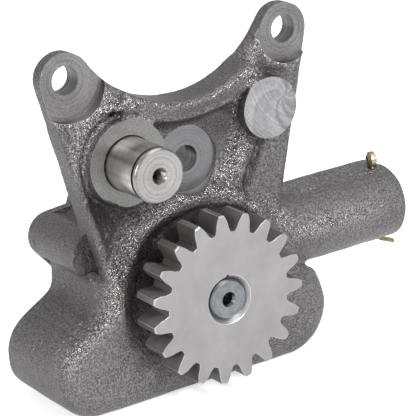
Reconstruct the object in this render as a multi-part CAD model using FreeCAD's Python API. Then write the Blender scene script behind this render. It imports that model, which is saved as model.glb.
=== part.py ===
"""Engine oil pump with a two-rotor pumping set, an idler stub shaft and a relief valve.

Frame: origin at the centre of the drive gear's front face, on the drive shaft's axis.
X to the right, Y from the gear back into the pump, Z up. Millimetres.
"""
import FreeCAD
import Part
import math
import os

V = FreeCAD.Vector

# Drive gear: 8 diametral pitch, 20 degree pressure angle
MODULE = 3.175
GEAR_TEETH = 19
PRESSURE_ANGLE = 20.0
GEAR_WIDTH = 12.7
ROOT_CLEARANCE = 0.5
ROOT_GAP = 1.9
TOOTH_BACKLASH = 0.1
FIRST_TOOTH_ANGLE = 91.0
TIP_CHAMFER = 0.4
GEAR_BORE_CHAMFER = 1.6

# Drive shaft
SHAFT_DIAMETER = 15.875
SHAFT_FRONT_Y = 0.3
SHAFT_EDGE_CHAMFER = 0.8
CENTRE_DRILL_DIAMETER = 4.6
CENTRE_DRILL_DEPTH = 9.0
PRESS_FIT = 0.01
RUNNING_FIT = 0.05
KEY_WIDTH = 3.175
KEY_HEIGHT = 3.0
GEAR_KEY_LENGTH = 8.0
KEY_FIT = 0.05

# Bearings and thrust washer
BUSH_WALL = 1.6
THRUST_WASHER_THICKNESS = 1.2
THRUST_WASHER_DIAMETER = 27.0
END_FLOAT = 0.06
SHAFT_BOSS_DIAMETER = 27.0

# Rotor set: four lobes inside five pockets
ROTOR_OFFSET = 3.5
ROTOR_WIDTH = 30.0
LOBE_CENTRE_RADIUS = 27.0
LOBE_RADIUS = 10.5
INNER_LOBES = 4
LOBE_CLEARANCE = 0.1
OUTER_ROTOR_DIAMETER = 57.0
ROTOR_RUNNING_FIT = 0.1
ROTOR_KEY_LENGTH = 20.0
ROTOR_ARCS_PER_LOBE = 10

# Rotor housing
CHAMBER_FRONT_Y = 32.4
COVER_THICKNESS = 4.0
HOUSING_FRONT_Y = 16.4
GEAR_RECESS_RADIUS = 34.6
GEAR_RECESS_Y = 19.6
BARREL_RADIUS = 41.5
BASE_Z = -40.0
LEFT_BULGE_X = -46.9
LEFT_BULGE_RADIUS = 16.6
LEFT_FOOT_RADIUS = 15.0
RIGHT_BULGE_X = 38.2
RIGHT_BULGE_RADIUS = 19.6
BULGE_SLOPE_RADIUS = 20.5
NECK_FILLET = 6.0
BOSS_FILLET = 5.0
HOUSING_FRONT_ROUND = 7.5

# Mounting plate with its saddle and ears
PLATE_FRONT_Y = 19.8
PLATE_REAR_Y = 31.0
PLATE_FOOT_Z = 6.0
EAR_SPACING = 95.25
EAR_HEIGHT = 91.2
EAR_HOLE_DIAMETER = 10.8
HOLE_CHAMFER = 0.6
EAR_FACE_Y = 22.8
LEFT_EAR_FACE_RADIUS = 15.5
RIGHT_EAR_FACE_RADIUS = 12.9
SADDLE_RADIUS = 46.3
SADDLE_RISE = 30.4
PLATE_LEFT_LEAN = 12.9
PLATE_RIGHT_LEAN = 14.7
PLATE_EDGE_ROUND = 3.5
PLATE_REAR_CHAMFER = 2.2
RIM_FRONT_Y = 15.5
RIM_WIDTH = 8.4
RIM_HALF_SPREAD = 32.0
RIM_CHAMFER = 1.2
POCKET_FLOOR_Y = 21.4
RIB_TOP_Z = 74.0
RIB_FOOT_Z = 12.0
RIB_WIDTH = 3.0
RIB_FRONT_Y = 18.6

# Third bolt in the pocket
THIRD_BOLT_HEIGHT = 50.5
SPOTFACE_Y = 22.5
SPOTFACE_DIAMETER = 26.0
THIRD_BOLT_HOLE_DIAMETER = 10.3

# Right arm, left of which the pocket floor drops away, and its milled pad
ARM_STEP_TOP = (33.6, 49.4)
ARM_STEP_FOOT = (18.0, 23.5)
POCKET_LEFT_X = -20.0
POCKET_TOP_Z = 72.0
PAD_CENTRE = (34.9, 64.0)
PAD_DIAMETER = 24.0
PAD_Y = 15.9

# Idler stub shaft
IDLER_CENTRE = (-28.36, 56.8)
IDLER_SHAFT_DIAMETER = 20.6
IDLER_SPIGOT_DIAMETER = 19.0
IDLER_BORE_CHAMFER = 1.3
IDLER_END_Y = -5.4
IDLER_FACE_Y = 15.9
IDLER_BOSS_DIAMETER = 33.4
IDLER_FACE_CHAMFER = 0.5
IDLER_COLLAR = 2.0
CIRCLIP_GROOVE_WIDTH = 1.2
CIRCLIP_GROOVE_DEPTH = 0.9
IDLER_CHAMFER = 0.7
IDLER_CENTRE_SINK_DIAMETER = 6.2
IDLER_CENTRE_DRILL_DIAMETER = 3.2
IDLER_CENTRE_DRILL_DEPTH = 8.0

# Relief-valve tube along X
TUBE_Y = 31.0
TUBE_Z = 8.8
TUBE_RADIUS = 15.0
TUBE_END_X = 97.6
TUBE_END_CHAMFER = 1.6
RELIEF_BORE_DIAMETER = 17.5
RELIEF_SEAT_X = 44.0
RELIEF_SEAT_BORE_DIAMETER = 13.0
RELIEF_SEAT_END_X = 36.0
RELIEF_FEED_DIAMETER = 8.0
RELIEF_FEED_END_X = 14.0
RELIEF_PORT_X = 58.0
RELIEF_PORT_DIAMETER = 9.0
PLUNGER_LENGTH = 20.0
PLUNGER_WALL = 2.2
PLUNGER_NOSE = 3.0
PLUNGER_FIT = 0.04
SPRING_WIRE = 1.8
SPRING_TURNS = 5
SPRING_STEPS_PER_TURN = 16
SPRING_GUIDE_CLEARANCE = 0.5
SPRING_CAP_THICKNESS = 4.0
SPRING_CAP_PILOT = 3.0
SPRING_CAP_FIT = 0.05
PIN_FROM_TUBE_END = 6.2
PIN_DIAMETER = 3.6
PIN_HOLE_CLEARANCE = 0.2
PIN_LOOP_RADIUS = 2.65
PIN_LOOP_EASE = 1.1
PIN_NECK_DEPTH = 0.4
PIN_TURN = 74.0
PIN_BEND_RADIUS = 2.3
PIN_LEG_LENGTH = 7.0
PIN_LEG_DROOP = 22.0
PIN_SHORT_LEG_LENGTH = 1.2

# Cover boss on the left, cover and its fasteners
LEFT_BOSS = (-38.4, 19.6)
BOSS_RADIUS = 9.2
BOSS_OVERLAP = 0.5
TOP_BOSS = (21.5, 32.5)
LOWER_SCREWS = ((-30.0, -31.0), (24.0, -31.5))
LOWER_LUG_RADIUS = 7.5
COVER_RIM = 1.4
COVER_LUG_FILLET = 3.0
SCREW_DIAMETER = 6.0
SCREW_LENGTH = 20.0
SCREW_HEAD_ACROSS_FLATS = 10.0
SCREW_HEAD_HEIGHT = 4.0
THREAD_CLEARANCE = 0.15
DOWEL_DIAMETER = 5.0
DOWEL_LENGTH = 11.0
DOWEL_TO_SEAL = 0.7
SEAL_WALL = 1.2
SEAL_WIDTH = 1.6
SEAL_DEPTH = 1.4
SEAL_CLEARANCE = 0.03
COVER_HUB_DIAMETER = 28.0
COVER_HUB_HEIGHT = 8.0
HUB_WALL = 2.0
REAR_BUSH_INSET = 0.4
SHAFT_END_GAP = 0.5

# Ports on the hidden side
SUCTION_CENTRE = (-17.5, 9.8)
SUCTION_BORE_DIAMETER = 16.0
SUCTION_NECK_DIAMETER = 25.0
SUCTION_NECK_HEIGHT = 10.0
SUCTION_SCREW_SPACING = 34.0
SUCTION_LUG_DIAMETER = 12.5
DELIVERY_CENTRE = (41.0, -20.0)
DELIVERY_BORE_DIAMETER = 15.0
DELIVERY_BORE_DEPTH = 40.0
DELIVERY_SCREW_SPACING = 24.0
PORT_SCREW_DIAMETER = 6.0
PORT_SCREW_DEPTH = 10.0
GALLERY_Z = -15.5
GALLERY_START_X = 4.0
GALLERY_DIAMETER = 9.0
PLUG_INNER_X = 50.0
PLUG_DIAMETER = 14.0
PLUG_LENGTH = 5.0
KIDNEY_RADIUS = 18.2
KIDNEY_HALF_WIDTH = 3.8
KIDNEY_DEPTH = 6.0
INLET_KIDNEY_DEPTH = 2.0
OUTLET_KIDNEY_ANGLES = (-75.0, 60.0)
INLET_KIDNEY_ANGLES = (120.0, 240.0)

# Places worked out from the driving dimensions
PITCH_RADIUS = MODULE * GEAR_TEETH / 2
GEAR_TIP_RADIUS = PITCH_RADIUS + MODULE
GEAR_ROOT_RADIUS = PITCH_RADIUS - MODULE - ROOT_CLEARANCE
SHAFT_RADIUS = SHAFT_DIAMETER / 2
BUSH_RADIUS = SHAFT_RADIUS + BUSH_WALL
BODY_REAR_Y = CHAMBER_FRONT_Y + ROTOR_WIDTH + END_FLOAT
COVER_REAR_Y = BODY_REAR_Y + COVER_THICKNESS
HUB_REAR_Y = COVER_REAR_Y + COVER_HUB_HEIGHT
SHAFT_BOSS_Y = GEAR_WIDTH + THRUST_WASHER_THICKNESS + END_FLOAT
REAR_BUSH_FRONT_Y = BODY_REAR_Y + REAR_BUSH_INSET
REAR_BUSH_REAR_Y = HUB_REAR_Y - HUB_WALL
SHAFT_REAR_Y = REAR_BUSH_REAR_Y - SHAFT_END_GAP
CHAMBER_RADIUS = OUTER_ROTOR_DIAMETER / 2 + ROTOR_RUNNING_FIT
OUTER_POCKET_RADIUS = LOBE_CENTRE_RADIUS - LOBE_RADIUS + 2 * ROTOR_OFFSET + LOBE_CLEARANCE
DOWEL_SPREAD = CHAMBER_RADIUS + SEAL_WALL + SEAL_WIDTH + DOWEL_TO_SEAL + DOWEL_DIAMETER / 2
COVER_RADIUS = DOWEL_SPREAD + DOWEL_DIAMETER / 2 + COVER_RIM
SADDLE_HEIGHT = EAR_HEIGHT + SADDLE_RISE
EAR_X = EAR_SPACING / 2
EAR_RADIUS = math.hypot(EAR_X, SADDLE_HEIGHT - EAR_HEIGHT) - SADDLE_RADIUS
IDLER_RADIUS = IDLER_SHAFT_DIAMETER / 2
IDLER_SPIGOT_RADIUS = IDLER_SPIGOT_DIAMETER / 2
RELIEF_BORE_RADIUS = RELIEF_BORE_DIAMETER / 2
PIN_X = TUBE_END_X - PIN_FROM_TUBE_END
SPRING_CAP_OUTER_X = PIN_X - PIN_DIAMETER / 2 - SPRING_CAP_FIT
SPRING_CAP_INNER_X = SPRING_CAP_OUTER_X - SPRING_CAP_THICKNESS
PLUNGER_BORE_RADIUS = RELIEF_BORE_RADIUS - PLUNGER_FIT - PLUNGER_WALL
SPRING_RADIUS = PLUNGER_BORE_RADIUS - SPRING_GUIDE_CLEARANCE - SPRING_WIRE / 2
SPRING_START_X = RELIEF_SEAT_X + PLUNGER_NOSE
GALLERY_Y = CHAMBER_FRONT_Y - KIDNEY_DEPTH


def cylinder_y(centre, radius, front, rear):
    """A cylinder along Y about the point centre = (x, z)."""
    return Part.makeCylinder(radius, rear - front, V(centre[0], front, centre[1]), V(0, 1, 0))


def ring_y(centre, inner, outer, front, rear):
    return cylinder_y(centre, outer, front, rear).cut(cylinder_y(centre, inner, front, rear))


def cylinder_x(y, z, radius, start, end):
    return Part.makeCylinder(radius, end - start, V(start, y, z), V(1, 0, 0))


def cone_y(centre, front_radius, rear_radius, front, rear):
    return Part.makeCone(front_radius, rear_radius, rear - front, V(centre[0], front, centre[1]), V(0, 1, 0))


def point(x, z, y=0.0):
    return V(x, y, z)


def polar(radius, angle, centre=(0.0, 0.0)):
    return point(centre[0] + radius * math.cos(angle), centre[1] + radius * math.sin(angle))


def line(a, b):
    return Part.LineSegment(a, b).toShape()


def arc(centre, radius, start, end):
    """An arc in the XZ plane from angle start to angle end, either way round."""
    middle = (start + end) / 2
    ends = [polar(radius, angle, centre) for angle in (start, middle, end)]
    return Part.Arc(*ends).toShape()


def prism_y(edges, front, rear):
    """The solid between two Y planes on a closed outline of edges in the XZ plane."""
    face = Part.Face(Part.Wire(edges))
    face.translate(V(0, front, 0))
    return face.extrude(V(0, rear - front, 0))


def polygon_prism(corners, front, rear):
    points = [point(x, z) for x, z in corners]
    return prism_y([line(a, b) for a, b in zip(points, points[1:] + points[:1])], front, rear)


def belt(first, second, front, rear):
    """Two discs (x, z, radius) joined by their outer tangents, as a prism."""
    dx, dz = second[0] - first[0], second[1] - first[1]
    heading = math.atan2(dz, dx)
    lean = math.acos((first[2] - second[2]) / math.hypot(dx, dz))
    up, down = heading + lean, heading - lean
    edges = [
        arc(first[:2], first[2], up, down + 2 * math.pi),
        line(polar(first[2], down, first[:2]), polar(second[2], down, second[:2])),
        arc(second[:2], second[2], down, up),
        line(polar(second[2], up, second[:2]), polar(first[2], up, first[:2])),
    ]
    return prism_y(edges, front, rear)


def union(shapes):
    return shapes[0].multiFuse(shapes[1:]).removeSplitter()


def face_normal(face, place):
    u, v = face.Surface.parameter(place)
    return face.normalAt(u, v)


def sharp_edges_along_y(shape):
    """Edges along Y where two walls meet at a corner of more than 10 degrees."""
    found = []
    for edge in shape.Edges:
        ends = [v.Point for v in edge.Vertexes]
        if len(ends) != 2 or abs(ends[1].y - ends[0].y) < 0.99 * edge.Length:
            continue
        faces = shape.ancestorsOfType(edge, Part.Face)
        if len(faces) != 2:
            continue
        middle = (ends[0] + ends[1]) * 0.5
        if face_normal(faces[0], middle).getAngle(face_normal(faces[1], middle)) > math.radians(10):
            found.append(edge)
    return found


def edges_in_plane(shape, y):
    """Edges that lie in the plane of the given Y."""
    return [e for e in shape.Edges if abs(e.BoundBox.YMin - y) < 1e-4 and abs(e.BoundBox.YMax - y) < 1e-4]


def gear_outline():
    """Involute teeth with straight lower flanks and narrow flat roots."""
    pressure = math.radians(PRESSURE_ANGLE)
    base = PITCH_RADIUS * math.cos(pressure)
    pitch_half = math.pi / (2 * GEAR_TEETH) - TOOTH_BACKLASH / (2 * PITCH_RADIUS)
    gap_half = math.asin(ROOT_GAP / 2 / GEAR_ROOT_RADIUS)

    def half_angle(radius):
        roll = math.acos(min(1.0, base / radius))
        return pitch_half + math.tan(pressure) - pressure - math.tan(roll) + roll

    def flank(middle, side):
        radii = (base, (base + GEAR_TIP_RADIUS) / 2, GEAR_TIP_RADIUS)
        return Part.Arc(*[polar(r, middle + side * half_angle(r)) for r in radii]).toShape()

    edges = []
    pitch_angle = 2 * math.pi / GEAR_TEETH
    for tooth in range(GEAR_TEETH):
        middle = math.radians(FIRST_TOOTH_ANGLE) + tooth * pitch_angle
        root_start = polar(GEAR_ROOT_RADIUS, middle - pitch_angle / 2 + gap_half)
        root_end = polar(GEAR_ROOT_RADIUS, middle + pitch_angle / 2 - gap_half)
        edges.append(line(root_start, polar(base, middle - half_angle(base))))
        edges.append(flank(middle, -1))
        tip = half_angle(GEAR_TIP_RADIUS)
        edges.append(arc((0, 0), GEAR_TIP_RADIUS, middle - tip, middle + tip))
        edges.append(flank(middle, 1))
        edges.append(line(polar(base, middle + half_angle(base)), root_end))
        next_root = middle + pitch_angle / 2
        edges.append(arc((0, 0), GEAR_ROOT_RADIUS, next_root - gap_half, next_root + gap_half))
    return edges


def key_block(front, rear, fit=0.0):
    """A parallel key on top of the shaft, grown by fit for its seat."""
    width = KEY_WIDTH + 2 * fit
    height = KEY_HEIGHT + 2 * fit
    corner = V(-width / 2, front - fit, SHAFT_RADIUS - height / 2)
    return Part.makeBox(width, rear - front + 2 * fit, height, corner)


def centre_hole(y, drill_diameter, drill_depth, sink_diameter):
    """The cutter for a turned shaft's centre hole with its 60 degree countersink."""
    drill, sink = drill_diameter / 2, sink_diameter / 2
    sink_depth = (sink - drill) / math.tan(math.radians(30))
    return union([cylinder_y((0, 0), drill, y, y + drill_depth), cone_y((0, 0), sink, drill, y, y + sink_depth)])


def gear_key_span():
    return GEAR_WIDTH - GEAR_KEY_LENGTH, GEAR_WIDTH


def rotor_key_span():
    start = CHAMBER_FRONT_Y + (ROTOR_WIDTH - ROTOR_KEY_LENGTH) / 2
    return start, start + ROTOR_KEY_LENGTH


def drive_gear():
    blank = cylinder_y((0, 0), GEAR_TIP_RADIUS, 0, GEAR_WIDTH)
    rims = [e for e in blank.Edges if e.Curve.TypeId == "Part::GeomCircle"]
    blank = blank.makeChamfer(TIP_CHAMFER, rims)
    gear = prism_y(gear_outline(), 0, GEAR_WIDTH).common(blank)
    bore = SHAFT_RADIUS + PRESS_FIT
    gear = gear.cut(cylinder_y((0, 0), bore, 0, GEAR_WIDTH))
    gear = gear.cut(cone_y((0, 0), bore + GEAR_BORE_CHAMFER, bore, 0, GEAR_BORE_CHAMFER))
    gear = gear.cut(cone_y((0, 0), bore, bore + HOLE_CHAMFER, GEAR_WIDTH - HOLE_CHAMFER, GEAR_WIDTH))
    return gear.cut(key_block(*gear_key_span(), KEY_FIT))


def drive_shaft():
    shaft = cylinder_y((0, 0), SHAFT_RADIUS, SHAFT_FRONT_Y, SHAFT_REAR_Y)
    shaft = shaft.makeChamfer(SHAFT_EDGE_CHAMFER, edges_in_plane(shaft, SHAFT_FRONT_Y))
    shaft = shaft.makeChamfer(HOLE_CHAMFER, edges_in_plane(shaft, SHAFT_REAR_Y))
    sink = CENTRE_DRILL_DIAMETER + 1.4
    shaft = shaft.cut(centre_hole(SHAFT_FRONT_Y, CENTRE_DRILL_DIAMETER, CENTRE_DRILL_DEPTH, sink))
    for span in (gear_key_span(), rotor_key_span()):
        shaft = shaft.cut(key_block(*span, KEY_FIT))
    return shaft


def lobe_point(t):
    """A point of the curve that stays one clearance inside the outer rotor's round teeth."""
    teeth = INNER_LOBES + 1
    x = LOBE_CENTRE_RADIUS * math.cos(t) + ROTOR_OFFSET * math.cos(teeth * t)
    z = LOBE_CENTRE_RADIUS * math.sin(t) + ROTOR_OFFSET * math.sin(teeth * t)
    nx = LOBE_CENTRE_RADIUS * math.cos(t) + teeth * ROTOR_OFFSET * math.cos(teeth * t)
    nz = LOBE_CENTRE_RADIUS * math.sin(t) + teeth * ROTOR_OFFSET * math.sin(teeth * t)
    inward = (LOBE_RADIUS + LOBE_CLEARANCE) / math.hypot(nx, nz)
    return point(x - inward * nx, z - inward * nz)


def inner_rotor():
    """Four lobes whose outline runs in short arcs through the exact curve."""
    arcs = ROTOR_ARCS_PER_LOBE * INNER_LOBES
    step = 2 * math.pi / arcs
    edges = []
    for n in range(arcs):
        edges.append(Part.Arc(*[lobe_point((n + part) * step) for part in (0, 0.5, 1)]).toShape())
    rotor = prism_y(edges, CHAMBER_FRONT_Y, CHAMBER_FRONT_Y + ROTOR_WIDTH)
    rotor = rotor.cut(cylinder_y((0, 0), SHAFT_RADIUS + PRESS_FIT, CHAMBER_FRONT_Y, BODY_REAR_Y))
    start, _ = rotor_key_span()
    return rotor.cut(key_block(start, BODY_REAR_Y, KEY_FIT))


def outer_rotor():
    """A ring whose round teeth stand where the inner rotor meets them at rest."""
    centre = (0, ROTOR_OFFSET)
    front, rear = CHAMBER_FRONT_Y, CHAMBER_FRONT_Y + ROTOR_WIDTH
    teeth_count = INNER_LOBES + 1
    teeth = []
    for tooth in range(teeth_count):
        angle = math.pi / 2 / teeth_count + tooth * 2 * math.pi / teeth_count
        spot = polar(LOBE_CENTRE_RADIUS, angle, centre)
        teeth.append(cylinder_y((spot.x, spot.z), LOBE_RADIUS, front, rear))
    pocket = cylinder_y(centre, OUTER_POCKET_RADIUS, front, rear).cut(teeth)
    return cylinder_y(centre, OUTER_ROTOR_DIAMETER / 2, front, rear).cut(pocket)


def kidney(start, end, front, rear):
    """A kidney port between two angles (degrees) about the outer rotor's axis."""
    centre = (0, ROTOR_OFFSET)
    first, last = math.radians(start), math.radians(end)
    last_end = polar(KIDNEY_RADIUS, last, centre)
    first_end = polar(KIDNEY_RADIUS, first, centre)
    outer, inner = KIDNEY_RADIUS + KIDNEY_HALF_WIDTH, KIDNEY_RADIUS - KIDNEY_HALF_WIDTH
    edges = [
        arc(centre, outer, first, last),
        arc((last_end.x, last_end.z), KIDNEY_HALF_WIDTH, last, last + math.pi),
        arc(centre, inner, last, first),
        arc((first_end.x, first_end.z), KIDNEY_HALF_WIDTH, first + math.pi, first + 2 * math.pi),
    ]
    return prism_y(edges, front, rear)


def cover_screw_places():
    return [LEFT_BOSS, TOP_BOSS, *LOWER_SCREWS]


def dowel_places():
    return [(-DOWEL_SPREAD, ROTOR_OFFSET), (DOWEL_SPREAD, ROTOR_OFFSET)]


def housing_block():
    """The rotor barrel between two bulges on a flat base, with rounded necks and front edge."""
    front, rear = HOUSING_FRONT_Y, BODY_REAR_Y
    left = (LEFT_BULGE_X, BASE_Z + LEFT_BULGE_RADIUS, LEFT_BULGE_RADIUS)
    left_foot = (LEFT_BULGE_X - LEFT_BULGE_RADIUS + LEFT_FOOT_RADIUS, BASE_Z + LEFT_FOOT_RADIUS, LEFT_FOOT_RADIUS)
    right = (RIGHT_BULGE_X, BASE_Z + RIGHT_BULGE_RADIUS, RIGHT_BULGE_RADIUS)
    middle = (0, 0, BULGE_SLOPE_RADIUS)
    barrel = cylinder_y((0, 0), BARREL_RADIUS, front, rear)
    below = Part.makeBox(4 * BARREL_RADIUS, rear - front, BARREL_RADIUS,
                         V(-2 * BARREL_RADIUS, front, BASE_Z - BARREL_RADIUS))
    foot = polygon_prism([(left_foot[0], BASE_Z), (right[0], BASE_Z), (0, 0), left_foot[:2]], front, rear)
    block = union([barrel.cut(below), belt(left, middle, front, rear), belt(right, middle, front, rear),
                   belt(left, left_foot, front, rear), foot])
    block = block.makeFillet(NECK_FILLET, sharp_edges_along_y(block))
    return block.makeFillet(HOUSING_FRONT_ROUND, edges_in_plane(block, front))


def rear_flange():
    """The barrel's rear part with the bosses for the cover's upper screws."""
    span = (PLATE_REAR_Y - BOSS_OVERLAP, BODY_REAR_Y)
    barrel = cylinder_y((0, 0), BARREL_RADIUS, *span)
    flange = union([barrel] + [cylinder_y(boss, BOSS_RADIUS, *span) for boss in (LEFT_BOSS, TOP_BOSS)])
    flange = flange.makeFillet(BOSS_FILLET, sharp_edges_along_y(flange))
    below = Part.makeBox(4 * BARREL_RADIUS, BODY_REAR_Y, BARREL_RADIUS,
                         V(-2 * BARREL_RADIUS, 0, BASE_Z - BARREL_RADIUS))
    return flange.cut(below)


def mounting_plate():
    """The plate with its saddle arc and two ears; the foot is buried in the housing."""
    left_lean, right_lean = math.radians(PLATE_LEFT_LEAN), math.radians(PLATE_RIGHT_LEAN)
    right, left = (EAR_X, EAR_HEIGHT), (-EAR_X, EAR_HEIGHT)
    saddle = (0, SADDLE_HEIGHT)
    to_saddle = math.atan2(SADDLE_HEIGHT - EAR_HEIGHT, -EAR_X)
    right_side = polar(EAR_RADIUS, -right_lean, right)
    left_side = polar(EAR_RADIUS, math.pi + left_lean, left)
    right_foot = point(right_side.x - (right_side.z - PLATE_FOOT_Z) * math.tan(right_lean), PLATE_FOOT_Z)
    left_foot = point(left_side.x + (left_side.z - PLATE_FOOT_Z) * math.tan(left_lean), PLATE_FOOT_Z)
    edges = [
        line(right_foot, right_side),
        arc(right, EAR_RADIUS, -right_lean, to_saddle),
        arc(saddle, SADDLE_RADIUS, to_saddle - math.pi, -to_saddle),
        arc(left, EAR_RADIUS, math.pi - to_saddle, math.pi + left_lean),
        line(left_side, left_foot),
        line(left_foot, right_foot),
    ]
    plate = prism_y(edges, PLATE_FRONT_Y, PLATE_REAR_Y)
    front = [e for e in edges_in_plane(plate, PLATE_FRONT_Y) if e.BoundBox.ZMax > PLATE_FOOT_Z + 1]
    plate = plate.makeFillet(PLATE_EDGE_ROUND, front)
    rear = [e for e in edges_in_plane(plate, PLATE_REAR_Y) if e.BoundBox.ZMax > PLATE_FOOT_Z + 1]
    plate = plate.makeChamfer(PLATE_REAR_CHAMFER, rear)
    pocket = [(POCKET_LEFT_X, POCKET_TOP_Z), (ARM_STEP_TOP[0], POCKET_TOP_Z), ARM_STEP_TOP,
              ARM_STEP_FOOT, (POCKET_LEFT_X, ARM_STEP_FOOT[1])]
    return plate.cut(polygon_prism(pocket, PLATE_FRONT_Y - 1, POCKET_FLOOR_Y))


def edge_rib():
    """The rib that runs down the plate's left edge and on into the rotor housing."""
    lean = math.radians(PLATE_LEFT_LEAN)
    side = polar(EAR_RADIUS, math.pi + lean, (-EAR_X, EAR_HEIGHT))
    top = side.x + (side.z - RIB_TOP_Z) * math.tan(lean)
    foot = side.x + (side.z - RIB_FOOT_Z) * math.tan(lean)
    outline = [(top, RIB_TOP_Z), (foot, RIB_FOOT_Z), (foot + RIB_WIDTH, RIB_FOOT_Z), (top + RIB_WIDTH, RIB_TOP_Z)]
    return polygon_prism(outline, RIB_FRONT_Y, PLATE_REAR_Y - 1)


def saddle_rim():
    """The thick rim that stands proud of the plate along the saddle."""
    centre = (0, SADDLE_HEIGHT)
    outer = SADDLE_RADIUS + RIM_WIDTH
    spread = math.asin(RIM_HALF_SPREAD / outer)
    start, end = -math.pi / 2 - spread, -math.pi / 2 + spread
    edges = [
        arc(centre, SADDLE_RADIUS, start, end),
        line(polar(SADDLE_RADIUS, end, centre), polar(outer, end, centre)),
        arc(centre, outer, end, start),
        line(polar(outer, start, centre), polar(SADDLE_RADIUS, start, centre)),
    ]
    rim = prism_y(edges, RIM_FRONT_Y, PLATE_REAR_Y - 1)
    return rim.makeChamfer(RIM_CHAMFER, edges_in_plane(rim, RIM_FRONT_Y))


def idler_boss():
    boss = cylinder_y(IDLER_CENTRE, IDLER_BOSS_DIAMETER / 2, IDLER_FACE_Y, PLATE_REAR_Y - 1)
    return boss.makeChamfer(IDLER_FACE_CHAMFER, edges_in_plane(boss, IDLER_FACE_Y))


def relief_tube():
    tube = cylinder_x(TUBE_Y, TUBE_Z, TUBE_RADIUS, RELIEF_FEED_END_X, TUBE_END_X)
    rim = [e for e in tube.Edges if e.BoundBox.XMin > TUBE_END_X - 1]
    return tube.makeChamfer(TUBE_END_CHAMFER, rim)


def relief_passages():
    """The valve bore from the tube's end, its seat, its feed, the spill port and the pin hole."""
    pin_hole = Part.makeCylinder(PIN_DIAMETER / 2 + PIN_HOLE_CLEARANCE, 3 * TUBE_RADIUS,
                                 V(PIN_X, TUBE_Y, TUBE_Z - 1.5 * TUBE_RADIUS))
    spill = cylinder_y((RELIEF_PORT_X, TUBE_Z), RELIEF_PORT_DIAMETER / 2, TUBE_Y, TUBE_Y + 2 * TUBE_RADIUS)
    return [
        cylinder_x(TUBE_Y, TUBE_Z, RELIEF_BORE_RADIUS, RELIEF_SEAT_X, TUBE_END_X),
        cylinder_x(TUBE_Y, TUBE_Z, RELIEF_SEAT_BORE_DIAMETER / 2, RELIEF_SEAT_END_X, RELIEF_SEAT_X),
        cylinder_x(GALLERY_Y, TUBE_Z, RELIEF_FEED_DIAMETER / 2, RELIEF_FEED_END_X, RELIEF_SEAT_X - 2),
        pin_hole,
        spill,
    ]


def delivery_passages():
    """The outlet bore on the rear face, its cross drilling and the plug's counterbore."""
    x, z = DELIVERY_CENTRE
    half = DELIVERY_SCREW_SPACING / 2
    cuts = [cylinder_y((x, z), DELIVERY_BORE_DIAMETER / 2, BODY_REAR_Y - DELIVERY_BORE_DEPTH, BODY_REAR_Y)]
    for side in (-half, half):
        cuts.append(cylinder_y((x + side, z), PORT_SCREW_DIAMETER / 2, BODY_REAR_Y - PORT_SCREW_DEPTH, BODY_REAR_Y))
    far = RIGHT_BULGE_X + 2 * RIGHT_BULGE_RADIUS
    cuts.append(cylinder_x(GALLERY_Y, GALLERY_Z, GALLERY_DIAMETER / 2, GALLERY_START_X, PLUG_INNER_X))
    cuts.append(cylinder_x(GALLERY_Y, GALLERY_Z, PLUG_DIAMETER / 2 + PRESS_FIT, PLUG_INNER_X, far))
    return cuts


def seal_ring(clearance, front):
    centre = (0, ROTOR_OFFSET)
    inner = CHAMBER_RADIUS + SEAL_WALL
    return ring_y(centre, inner + clearance, inner + SEAL_WIDTH - clearance, front, BODY_REAR_Y)


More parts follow.
